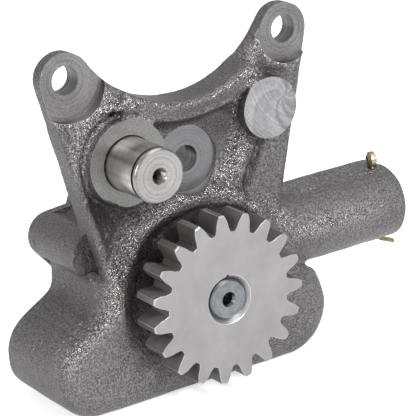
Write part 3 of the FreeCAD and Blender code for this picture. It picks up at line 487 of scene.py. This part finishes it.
# The casting: the CAD body's rough shape, rounded as cast, then milled and drilled
casting = {
    "voxel": 0.66, "smooth": 7, "boxGap": 0.15, "smoothAngle": 38,
    "leftEar": (-47.625, 91.2), "rightEar": (47.625, 91.2), "third": (0.0, 50.5), "pad": (34.9, 64.0),
    "idler": (idlerPlace[0], idlerPlace[2]), "shaft": (0, 0), "housingY": 16.4,
    "jointY": 62.46, "jointReach": 90, "jointStock": 3.0, "spotRadius": 13.0, "spotY": 23.3,
    "rootRing": {"radius": 10.71, "start": 10, "end": 17.4},
    "bossEnd": {"place": (-45.0, 28.15, 21.9), "size": (11.8, 6.6, 18), "lean": 14},
    "tubeFlat": {"place": (72.2, 36.55, 16.8), "size": (50.4, 14.1, 13.6), "edge": 2.2},
}
# Milled faces by finish; stock is what the remesh gets on top of them, start is where the cutter begins
milled = {
    "millEar": {"place": "leftEar", "radius": 15.5, "y": 22.8, "start": 5, "stock": 2.5},
    "millEarRight": {"place": "rightEar", "radius": 12.9, "y": 22.8, "start": 5, "stock": 2.5},
    "millPad": {"place": "pad", "radius": 12.3, "y": 15.9, "start": 3, "stock": 2.0},
    "millBoss": {"place": "idler", "radius": 17.1, "y": 15.9, "start": 2, "stock": 2.0},
}
# Plugs for holes and steps of the CAD body, so that the remesh meets plain iron: place, radius, start, end
plugs = [("leftEar", 5.9, 21, 31), ("rightEar", 5.9, 21, 31), ("third", 13.2, 21.4, 29),
         ("third", 5.65, 23, 31), ("idler", 11.01, 14.5, 31)]
recessPlug = ("shaft", 36.4, 16.5, 21.4)
# The plate's left edge as a row of balls (x, y, z, radius), each joined to the next
leftRib = [(-54.2, 20.6, 76.5, 1.0), (-51.3, 20.2, 66.3, 1.4), (-47.6, 20.0, 52, 1.5), (-45.6, 20.0, 45, 1.6),
           (-43.2, 20.0, 35.3, 1.7), (-40.1, 19.9, 24.7, 1.8), (-37.3, 19.2, 11.9, 1.8)]


def faceAt(face, y, centre, reach):
    middle = face.center
    flatGap = 0.02
    return (abs(middle.y - y * mm) < flatGap * mm and abs(face.normal.y) > 0.99
            and math.hypot(middle.x - centre[0] * mm, middle.z - centre[1] * mm) < reach * mm)


def pushFaces(obj, y, centre, reach, distance):
    selectFaces(obj, lambda face: faceAt(face, y, centre, reach))
    bpy.ops.mesh.extrude_region_move(TRANSFORM_OT_translate={"value": (0, distance * mm, 0)})
    leaveEdit()


def tubeFlat():
    flat = casting["tubeFlat"]
    top = block(flat["place"], flat["size"], "tubeFlat")
    applyModifier(top, "BEVEL", width=flat["edge"] * mm, segments=3)
    return top


def remesh(body, smooth):
    applyModifier(body, "REMESH", mode="VOXEL", voxel_size=casting["voxel"] * mm, adaptivity=0.0)
    applyModifier(body, "SMOOTH", factor=0.5, iterations=smooth)


def makeCasting():
    body = copyNode("pump_body", "casting")
    for face in milled.values():
        pushFaces(body, face["y"], casting[face["place"]], face["radius"] + 1, -face["stock"])
    pushFaces(body, casting["jointY"], casting["shaft"], casting["jointReach"], casting["jointStock"])
    fills = [roundBar("y", casting[place], *size) for place, *size in plugs]
    fills.append(tubeFlat())
    for first, second in zip(leftRib, leftRib[1:]):
        fills.append(capsule([(first[:3], first[3]), (second[:3], second[3])]))
    place, *size = recessPlug
    fills.append(roundBar("y", casting[place], *size))
    body = joinAll([body] + fills, "casting")
    remesh(body, casting["smooth"])
    sculptCasting(body)
    remesh(body, 1)
    paintCastingLight(body)
    print("stage: casting remeshed,", len(body.data.polygons), "faces")
    return body


# Strokes along a line of (x, z, share) press the casting's front in (push above 0), raise it, or bring it
# up to a level, and rough makes it coarser. They also paint highlights onto the iron (where it is made a
# little glossier too) and paint shade into hollows, creases and under ledges; behind keeps a mark to what
# lies further back than that y
strokes = [
    {"name": "earRidge", "reach": 5.2, "push": -1.5, "rough": 0.5, "paintedSheen": 0.7,
     "path": [(-21.5, 77.5, 0.3), (-26, 81, 0.8), (-31, 80.6, 1), (-35, 78.6, 1), (-40.4, 75.6, 1),
              (-44.6, 71.6, 1), (-47, 65.6, 1), (-48.6, 59, 0.7), (-49.4, 52, 0.3)]},
    {"name": "ribHollow", "reach": 8.5, "push": 1.7, "paintedShade": 0.6, "rough": 0.5,
     "path": [(-41.5, 46.5, 0.4), (-37.6, 39.5, 0.9), (-34.6, 32, 1), (-33.6, 25, 1), (-34.2, 18, 0.8),
              (-35.4, 13, 0.3)]},
    {"name": "bossShade", "reach": 4.6, "paintedShade": 1.0, "behind": 22.3,
     "path": [(-43.6, 30, 0.4), (-42.4, 25, 1), (-41, 19.5, 1), (-39.8, 14.5, 1), (-38.6, 9, 0.5)]},
    {"name": "underBoss", "reach": 7.0, "push": 1.5, "paintedShade": 0.75,
     "path": [(-40, 43, 0.8), (-35.6, 40, 1), (-29.5, 36.8, 1), (-23, 36.3, 1), (-16, 37, 0.5)]},
    {"name": "lowRidge", "reach": 7.0, "level": 16.3, "rough": 0.3,
     "path": [(-20.5, 33, 0.6), (-26.5, 29.3, 1), (-31.8, 22.5, 1), (-35.5, 15.5, 1), (-39.4, 8.5, 1),
              (-45, 2.5, 0.9), (-52, -3.5, 0.7), (-60, -9.5, 0.4)]},
    {"name": "lowRidgeSheen", "reach": 9.5, "paintedSheen": 1.0,
     "path": [(-22.5, 31, 0.7), (-28, 22.8, 0.9), (-34, 15, 0.9), (-39, 8.2, 1), (-44.6, 3, 1),
              (-52.7, -1.2, 1), (-60, -7, 1), (-64, -11.5, 0.6)]},
    {"name": "topRidge", "reach": 4.6, "push": -1.2, "rough": 0.6, "paintedSheen": 0.9,
     "path": [(-17, 33.5, 0.8), (-11, 37, 1), (-4, 38.4, 1), (6, 38.2, 1), (15, 35.2, 1),
              (22, 31, 0.7)]},
    {"name": "neckSheen", "reach": 5.0, "paintedSheen": 0.8, "rough": 0.3,
     "path": [(24, 27, 0.8), (31, 25, 1), (37, 19.6, 0.9), (45, 12.8, 0.8), (56, 12.2, 0.7),
              (70, 11.8, 0.5), (84, 11.6, 0.2)]},
    {"name": "armRough", "reach": 7.5, "push": -0.7, "rough": 1.8, "paintedSheen": 0.95,
     "path": [(26, 57, 0.7), (23, 50, 1), (19.8, 43.5, 1), (16, 38.5, 0.9)]},
    {"name": "armStep", "reach": 2.2, "push": 1.2, "paintedShade": 0.6,
     "path": [(33.4, 51.5, 0.7), (29.4, 43.6, 1), (25, 35.6, 1), (20.8, 27.6, 0.7)]},
    {"name": "armTop", "reach": 5.0, "push": -0.4, "rough": 0.5, "paintedSheen": 0.8,
     "path": [(35, 88.5, 0.4), (31.5, 85, 0.8), (28.4, 80.6, 1), (27.2, 75.5, 1), (31, 72, 0.6)]},
    {"name": "armHollow", "reach": 2.6, "push": 0.8, "paintedShade": 0.8,
     "path": [(34.5, 81.5, 0.6), (36.4, 77.5, 1), (39.5, 76.6, 1), (43.5, 76.2, 0.8)]},
    {"name": "pocketLip", "reach": 1.5, "push": -0.6, "paintedSheen": 0.35,
     "path": [(-12, 69.4, 0.3), (-3.5, 68.8, 0.6), (3.2, 69.2, 0.7), (9.9, 70, 0.8), (15.4, 70.4, 1),
              (20.6, 69.8, 1), (24, 67.4, 0.9), (25.6, 63, 0.7), (26.4, 58, 0.4)]},
    {"name": "pocketShade", "reach": 3.2, "paintedShade": 0.8,
     "path": [(-12, 66, 0.8), (-3.5, 65.6, 1), (3.2, 66, 1), (9.9, 66.6, 1), (15.4, 67, 1),
              (19.4, 66, 1), (21.8, 62, 0.8), (22.6, 58, 0.4)]},
    {"name": "rimCrest", "reach": 1.2, "paintedSheen": 1.0, "push": -0.45,
     "path": [(-26.2, 77.5, 0.9), (-22.5, 78.9, 0.9), (-17.6, 77.8, 0.7), (-12.1, 75, 0.5),
              (-7.2, 73.6, 0.8), (-1.4, 73.2, 0.8), (5.9, 73.5, 0.9), (13.5, 75.1, 1), (19.7, 77.6, 1),
              (24.4, 80.1, 1), (26.7, 81.5, 0.8)]},
    {"name": "pocketFloor", "reach": 6.5, "paintedShade": 0.55,
     "path": [(10.6, 61, 0.8), (17, 60, 1), (19, 54, 0.9), (16.6, 48, 0.6)]},
    {"name": "bandShade", "reach": 2.8, "paintedShade": 0.35,
     "path": [(-9, 71, 0.6), (-2, 70.9, 1), (6, 71.2, 1), (14, 72.6, 1), (21, 75, 0.9), (25, 77, 0.5)]},
    {"name": "hookPit", "reach": 1.6, "push": 2.0, "paintedShade": 1.0,
     "path": [(-31.6, 75.2, 1), (-29.8, 76.2, 1)]},
    {"name": "padShade", "reach": 2.4, "paintedShade": 0.7,
     "path": [(24.4, 70, 0.4), (22.4, 66, 0.9), (22.6, 60, 1), (25.6, 54, 0.9), (31, 51, 0.4)]},
    {"name": "paintedGlints", "reach": 4.5, "rough": 0.9, "paintedSheen": 0.7,
     "path": [(-48.6, 13, 1), (-46.6, 7.5, 1)]},
]
# The recess that the gear runs in, by angle round the shaft
recess = {
    "angle": (-180, -150, -125, -90, -45, 0, 50, 75, 105, 125, 150, 180),
    "depth": (3.6, 2.4, 1.0, 0.3, 1.5, 3.0, 2.6, 2.2, 2.6, 3.4, 3.8, 3.6),
    "slope": (12.0, 12.0, 11.0, 6.0, 3.0, 2.5, 2.6, 2.6, 4.2, 8.0, 11.0, 12.0),
    "outer": (38.8, 38.6, 37.5, 36.5, 36.2, 36.2, 35.0, 33.4, 34.4, 37.4, 38.6, 38.8),
    # The last row is how much shade is painted into the recess at each angle
    "paintedShade": (0.5, 0.3, 0.1, 0.1, 0.4, 0.6, 0.8, 0.9, 0.9, 0.95, 0.95, 0.5),
}
pocket = {
    "depth": 0.9, "lip": 1.3, "span": (-14, 24), "fadeZ": 40, "fadeLength": 12,
    "path": [(-14, 68.2, 1), (-9.5, 67.8, 1), (-3.5, 67.2, 1), (3.2, 67.6, 1), (9.9, 68.4, 1),
             (15.4, 68.8, 1), (19.8, 68.2, 1), (22.3, 66.1, 1), (23.8, 62.6, 1), (24.4, 58.5, 1)],
}
# A dip round the idler boss, pressed in and painted with shade
idlerDip = {"radius": 18.2, "width": 1.6, "right": 6, "push": 0.6, "paintedShade": 0.4}
sculpt = {
    "waves": ((7.0, 0.2), (2.6, 0.07)), "coarse": 1.6, "frontY": (13.4, 27),
    "bowlReach": (15, 44), "bowlY": (13.4, 20.4),
}
# Where highlights and shade are painted on the iron: a bright band just outside each milled face, the tube's
# top as if lit from above, and shade in the gear's recess
lightPaint = {
    "rearY": 30, "rimY": 26, "rimGap": 0.45, "rimWidth": 0.9, "rimShine": 0.85,
    "bowlReach": 40, "bowlGap": 0.5, "bowlFade": 3.0, "tubeX": 46, "tubeY": 24, "tubeZ": 22.6,
    "tubeFade": 0.8, "tubeShine": 0.55,
}


def clamped(values):
    return np.clip(values, 0, 1)


def between(values, limits):
    return (values > limits[0]) & (values < limits[1])


def facingFront(normals, start=0):
    return clamped(start - normals[:, 1] * 1.5)


def pathShare(path, x, z):
    near = np.full(len(x), 1e9)
    share = np.zeros(len(x))
    for (x0, z0, s0), (x1, z1, s1) in zip(path, path[1:]):
        dx, dz = x1 - x0, z1 - z0
        along = clamped(((x - x0) * dx + (z - z0) * dz) / (dx * dx + dz * dz))
        gap = np.hypot(x - x0 - along * dx, z - z0 - along * dz)
        closer = gap < near
        near = np.where(closer, gap, near)
        share = np.where(closer, s0 + along * (s1 - s0), share)
    return near, share


def strokeMark(stroke, x, z):
    near, share = pathShare(stroke["path"], x, z)
    return clamped(1 - (near / stroke["reach"]) ** 2), share


def castingPoints(body):
    mesh = body.data
    places = np.empty(len(mesh.vertices) * 3)
    normals = np.empty(len(mesh.vertices) * 3)
    mesh.vertices.foreach_get("co", places)
    mesh.vertices.foreach_get("normal", normals)
    return places.reshape(-1, 3) / mm, normals.reshape(-1, 3)


def besideIdler(x, z):
    idlerX, idlerZ = casting["idler"]
    gap = np.abs(np.hypot(x - idlerX, z - idlerZ) - idlerDip["radius"])
    return clamped(1 - gap / idlerDip["width"]) * (x < idlerX + idlerDip["right"])


def insidePocket(x, z):
    lip = pocket["path"]
    below = z < np.interp(x, [point[0] for point in lip], [point[1] for point in lip])
    near = pathShare(lip, x, z)[0]
    return clamped(near / pocket["lip"]) * (below & between(x, pocket["span"]))


def recessAt(key, x, z):
    return np.interp(np.degrees(np.arctan2(z, x)), recess["angle"], recess[key])


def sculptCasting(body):
    places, normals = castingPoints(body)
    x, y, z = places.T
    waves = np.array([sum(noiseOf(Vector(spot) / size) * height for size, height in sculpt["waves"])
                      for spot in places])
    front = facingFront(normals) * between(y, sculpt["frontY"])
    press, roughness = np.zeros((2, len(places)))
    for stroke in strokes:
        mark, share = strokeMark(stroke, x, z)
        weight = mark ** 2 * share * front
        press += (np.minimum(stroke["level"] - y, 0) if "level" in stroke else stroke.get("push", 0)) * weight
        roughness += stroke.get("rough", 0) * weight
    press += idlerDip["push"] * besideIdler(x, z) * front
    fade = clamped((z - pocket["fadeZ"]) / pocket["fadeLength"])
    press += pocket["depth"] * insidePocket(x, z) * front * fade
    coarse = np.array([noiseOf(Vector(spot) / sculpt["coarse"]) if rough > 0.02 else 0
                       for spot, rough in zip(places, roughness)])
    places = places + normals * (waves + coarse * roughness)[:, None]
    places[:, 1] += press
    reach = np.hypot(x, z)
    fall = clamped((recessAt("outer", x, z) - reach) / recessAt("slope", x, z))
    floor = casting["housingY"] + recessAt("depth", x, z) * fall * fall * (3 - 2 * fall)
    bowl = between(reach, sculpt["bowlReach"]) & between(y, sculpt["bowlY"]) & (fall > 0)
    places[:, 1] = np.where(bowl, np.maximum(places[:, 1], floor), places[:, 1])
    low, high = np.array(cadBox) / mm
    places = np.clip(places, low + casting["boxGap"], high - casting["boxGap"])
    body.data.vertices.foreach_set("co", (places * mm).ravel())
    body.data.update()


# Painted highlights and painted shade go onto the surface as attributes that the iron's material reads
def paintCastingLight(body):
    places, normals = castingPoints(body)
    x, y, z = places.T
    seen = facingFront(normals, 0.6) * (y < lightPaint["rearY"])
    paintedSheen, paintedShade = np.zeros((2, len(places)))
    for stroke in strokes:
        mark, share = strokeMark(stroke, x, z)
        mark = mark * share * seen * (y > stroke.get("behind", 0))
        paintedSheen = np.maximum(paintedSheen, stroke.get("paintedSheen", 0) * mark)
        paintedShade = np.maximum(paintedShade, stroke.get("paintedShade", 0) * mark)
    # Shade painted into the dip round the idler boss
    paintedShade = np.maximum(paintedShade, idlerDip["paintedShade"] * besideIdler(x, z) * seen)
    reach = np.hypot(x, z)
    # Shade painted into the gear's recess
    bowl = clamped((recessAt("outer", x, z) - lightPaint["bowlGap"] - reach) / lightPaint["bowlFade"])
    paintedShade = np.maximum(paintedShade, recessAt("paintedShade", x, z) * bowl * (reach < lightPaint["bowlReach"]) * seen)
    # A highlight painted just outside each milled face
    for face in milled.values():
        centreX, centreZ = casting[face["place"]]
        gap = np.abs(np.hypot(x - centreX, z - centreZ) - face["radius"] - lightPaint["rimGap"])
        rim = clamped(1 - gap / lightPaint["rimWidth"]) * seen * (y < lightPaint["rimY"])
        paintedSheen = np.maximum(paintedSheen, lightPaint["rimShine"] * rim)
    # The tube's top is painted lighter, as if lit from above
    tubeTop = clamped((z - lightPaint["tubeZ"]) / lightPaint["tubeFade"]) * (x > lightPaint["tubeX"]) * (y > lightPaint["tubeY"])
    paintedSheen = np.maximum(paintedSheen, lightPaint["tubeShine"] * tubeTop)
    for name, values in (("paintedSheen", paintedSheen), ("paintedShade", paintedShade)):
        layer = body.data.attributes.new(name, "FLOAT", "POINT")
        layer.data.foreach_set("value", values.astype(np.float32))
    body.data.update()


# Drilled holes: axis, place across it, radius, start and end
bores = [
    ("y", casting["leftEar"], 5.4, 4, 34),
    ("y", casting["rightEar"], 5.4, 4, 34),
    ("y", casting["third"], 5.15, 20, 35),
    ("y", casting["shaft"], 9.55, -4, 33.4),
    ("x", (31, 8.8), 8.75, 44, 102),  # relief plunger
    ("y", (41, -20), 7.5, 22.5, 67),  # delivery port
    ("y", (29, -20), 3.0, 52.5, 68),  # its two screws
    ("y", (53, -20), 3.0, 52.5, 68),
    ("x", (26.4, -15.5), 7.01, 50, 80),  # gallery plug
]
coverScrews = ((-38.4, 19.6), (21.5, 32.5), (-30.0, -31.0), (24.0, -31.5))
coverDowels = ((-34.6, 3.5), (34.6, 3.5))
bores += [("y", place, 3.15, 46, 69) for place in coverScrews]
bores += [("y", place, 2.51, 55.4, 70) for place in coverDowels]
innerBores = [
    ("y", casting["idler"], 9.51, 10, 36),
    ("y", (0, 3.5), 28.6, 32.4, 66),  # rotor chamber
    ("x", (31, 8.8), 6.5, 36, 46),  # relief seat
    ("z", (91.4, 31), 2.0, -12, 30),  # split pin
    ("y", (58, 8.8), 4.5, 31, 52),  # relief port
]


def roundCut(key, *shape):
    return dress(roundBar(*shape), key)


def millCut(key):
    face = milled[key]
    return roundCut(key, "y", casting[face["place"]], face["radius"], face["start"], face["y"])


def spotCut():
    spot = roundBar("y", casting["third"], casting["spotRadius"], 6, casting["spotY"])
    dress(spot, "spotface", "casting")
    for face in spot.data.polygons:
        face.material_index = 0 if abs(face.normal.y) > 0.5 else 1
    return spot


def bossEndCut():
    end = casting["bossEnd"]
    return dress(block(end["place"], end["size"], "bossEnd", end["lean"]), "casting")


def jointCut():
    return dress(block((0, casting["jointY"] + 10, 10), (300, 20, 300), "joint"), "millEar")


# Three rounds of cutters; within a round no two of them touch
def castingCutters():
    spot = spotCut()
    root = casting["rootRing"]
    rounds = {
        "mills": [bossEndCut(), spot, jointCut(),
                  millCut("millEar"), millCut("millEarRight"), millCut("millPad"),
                  # The ring round the idler's root is near black, painted as the shadow in its gap
                  roundCut("groove", "y", casting["idler"], root["radius"], root["start"], root["end"])],
        "bores": [millCut("millBoss")] + [roundCut("drilled", *bore) for bore in bores],
        "inner": [roundCut("drilled", *bore) for bore in innerBores],
    }
    return [joinAll(cutters, name) for name, cutters in rounds.items()]


# A light line is painted on the iron where it meets a machined face, as its highlight
def paintEdgeHighlights(body):
    mesh = body.data
    machined = [mat.name.startswith(("milled", "spot")) for mat in mesh.materials]
    edge = np.zeros(len(mesh.vertices), dtype=np.float32)
    for face in mesh.polygons:
        if machined[face.material_index]:
            edge[list(face.vertices)] = 1
    mesh.attributes.new("edge", "FLOAT", "POINT").data.foreach_set("value", edge)


def cutCasting(body):
    dress(body, "casting")
    for cutter in castingCutters():
        cutWith(body, cutter)
        print("stage: casting cut,", len(body.data.polygons), "faces")
    smoothByAngle(body, casting["smoothAngle"])
    paintEdgeHighlights(body)


body = makeCasting()
cutCasting(body)
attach(body, "housing")
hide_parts("pump_body")

nodeFinish = {
    "rear_cover": "casting", "cover_seal": "rubber", "cover_screws": "zinc", "cover_dowels": "machined",
    "gear_key": "machined", "thrust_washer": "bronze", "front_bush": "bronze", "rear_bush": "bronze",
    "inner_rotor": "sintered", "rotor_key": "machined", "outer_rotor": "sintered", "drive_shaft": "shaft",
    "relief_plunger": "machined", "relief_spring": "machined", "spring_cap": "machined",
    "gallery_plug": "zinc",
}
for nodeName, key in nodeFinish.items():
    dress(nodes[nodeName], key)
print("stage: kept nodes dressed")


def bevelled(nodeName, name, keys, width, segments, edgeSlot=-1):
    piece = dress(copyNode(nodeName, name), *keys)
    applyModifier(piece, "BEVEL", width=width * mm, segments=segments, limit_method="ANGLE",
                  angle_limit=math.radians(35), material=edgeSlot)
    return piece


# Drive gear: edges painted light as their highlight, ground faces, dark flanks, a nick above the key
gearLook = {"edge": 0.22, "nickSize": (1.1, 1.9, 2.4), "nickPlace": (0, 0, 8.7), "smoothAngle": 30}


def makeGear():
    faceSlot, flankSlot, edgeSlot = 0, 1, 2
    gear = bevelled("drive_gear", "driveGear", ("gearFace", "gearFlank", "gearEdge"), gearLook["edge"], 2,
                    edgeSlot)
    for face in gear.data.polygons:
        if face.material_index != edgeSlot:
            face.material_index = faceSlot if face.normal.y < -0.5 else flankSlot
    cutWith(gear, dress(block(gearLook["nickPlace"], gearLook["nickSize"], "nick"), "groove"))
    smoothByAngle(gear, gearLook["smoothAngle"])
    for face in gear.data.polygons:
        face.use_smooth = face.material_index == flankSlot
    return gear


# Idler shaft: ground, with the circlip groove painted near black as its shadow, and a lighter side with
# painted reflection bands
idlerLook = {"edge": 0.3, "grooveY": (-4.6, 5), "grooveReach": (6, 10.25), "smoothAngle": 30}


def makeIdler():
    grooveSlot, sideSlot = 1, 2
    idler = bevelled("idler_shaft", "idlerShaft", ("idler", "groove", "idlerSide"), idlerLook["edge"], 3)
    centreX, centreZ = casting["idler"]
    for face in idler.data.polygons:
        middle = face.center / mm
        reach = math.hypot(middle.x - centreX, middle.z - centreZ)
        # The circlip groove is painted near black as its shadow
        if between(middle.y, idlerLook["grooveY"]) and between(reach, idlerLook["grooveReach"]):
            face.material_index = grooveSlot
        # The side takes the lighter copy with painted reflection bands
        elif abs(face.normal.y) < 0.5 and reach > idlerLook["grooveReach"][0]:
            face.material_index = sideSlot
    smoothByAngle(idler, idlerLook["smoothAngle"])
    return idler


# Split pin: yellow zinc, with bare steel where its legs are cut off
pinLook = {"edge": 0.45, "legZ": -4, "smoothAngle": 50}


def makePin():
    cutSlot = 1
    pin = bevelled("split_pin", "splitPin", ("yellow", "machined"), pinLook["edge"], 3)
    for face in pin.data.polygons:
        if face.center.z / mm < pinLook["legZ"] and face.normal.x > 0.75:
            face.material_index = cutSlot
    smoothByAngle(pin, pinLook["smoothAngle"])
    return pin


for make, node, rideOn, slot in ((makeGear, "drive_gear", "drive", "gear_steel"),
                                 (makeIdler, "idler_shaft", "housing", "machined_steel"),
                                 (makePin, "split_pin", "housing", "yellow_zinc")):
    piece = make()
    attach(piece, rideOn)
    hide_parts(node)
print("stage: gear, idler shaft and pin made")


# Stage: pale floor, white backdrop through the world, soft lamps
studio = {
    "floorZ": -40.0, "floorSize": 6, "floorShade": (0.8, 0.8, 0.8, 1), "floorGlow": 0.62, "floorGloss": 0.4,
    "world": 0.76, "worldGloss": 0.0, "skyHeight": (-0.6, 0.9),
    "sky": [(0.0, (0.45, 0.45, 0.455)), (0.45, (0.62, 0.62, 0.625)), (1.0, 0.85)],
    "lampAim": (0, 20, 30),
    "lamps": {
        "keyTop": {"place": (250, -250, 850), "size": (600, 450), "power": 1.8},
        "frontHigh": {"place": (120, -800, 560), "size": (260, 200), "power": 8.7},
        "fillLeft": {"place": (-900, -350, 450), "size": (300, 500), "power": 3.9},
    },
}


# Which rays see the backdrop's own white; glossy ones see a share of it
def whiteSeen(tree, glossShare):
    path = addNode(tree, "ShaderNodeLightPath")
    gloss = maths(tree, "MULTIPLY", path.outputs["Is Glossy Ray"], glossShare)
    seen = maths(tree, "MAXIMUM", path.outputs["Is Camera Ray"], gloss)
    return maths(tree, "MAXIMUM", seen, path.outputs["Is Transmission Ray"])


def makeStage():
    clearSelection()
    bpy.ops.mesh.primitive_plane_add(size=studio["floorSize"], location=(0, 0, studio["floorZ"] * mm))
    floor = bpy.context.object
    floor.name = "floor"
    mat, tree = newMaterial("paleFloor")
    tree.nodes.clear()
    diffuse = addNode(tree, "ShaderNodeBsdfDiffuse", Color=studio["floorShade"])
    glow = addNode(tree, "ShaderNodeEmission", Color=(1, 1, 1, 1))
    strength = maths(tree, "MULTIPLY", whiteSeen(tree, studio["floorGloss"]), studio["floorGlow"])
    tree.links.new(strength, glow.inputs["Strength"])
    both = addNode(tree, "ShaderNodeAddShader")
    tree.links.new(diffuse.outputs[0], both.inputs[0])
    tree.links.new(glow.outputs[0], both.inputs[1])
    out = addNode(tree, "ShaderNodeOutputMaterial")
    tree.links.new(both.outputs[0], out.inputs["Surface"])
    floor.data.materials.append(mat)


def makeWorld():
    world = bpy.data.worlds.new("studioWorld")
    bpy.context.scene.world = world
    world.use_nodes = True
    tree = world.node_tree
    tree.nodes.clear()
    height = addNode(tree, "ShaderNodeSeparateXYZ")
    tree.links.new(addNode(tree, "ShaderNodeTexCoord").outputs["Generated"], height.inputs[0])
    sky = ramp(tree, spread(tree, height.outputs["Z"], 0, 1, *studio["skyHeight"]), studio["sky"])
    lit = addNode(tree, "ShaderNodeBackground", Strength=studio["world"])
    tree.links.new(sky, lit.inputs["Color"])
    white = addNode(tree, "ShaderNodeBackground", Color=(1, 1, 1, 1))
    mix = addNode(tree, "ShaderNodeMixShader")
    tree.links.new(whiteSeen(tree, studio["worldGloss"]), mix.inputs[0])
    tree.links.new(lit.outputs[0], mix.inputs[1])
    tree.links.new(white.outputs[0], mix.inputs[2])
    out = addNode(tree, "ShaderNodeOutputWorld")
    tree.links.new(mix.outputs[0], out.inputs["Surface"])


def softLamp(name, place, size, power):
    clearSelection()
    place = Vector(place) * mm
    aim = Vector(studio["lampAim"]) * mm - place
    bpy.ops.object.light_add(type="AREA", location=place, rotation=aim.to_track_quat("-Z", "Y").to_euler())
    lamp = bpy.context.object
    lamp.name = name
    lamp.data.shape = "RECTANGLE"
    lamp.data.size = size[0] * mm
    lamp.data.size_y = size[1] * mm
    lamp.data.energy = power


makeStage()
makeWorld()
for lampName, lamp in studio["lamps"].items():
    softLamp(lampName, **lamp)
print("stage: studio ready")
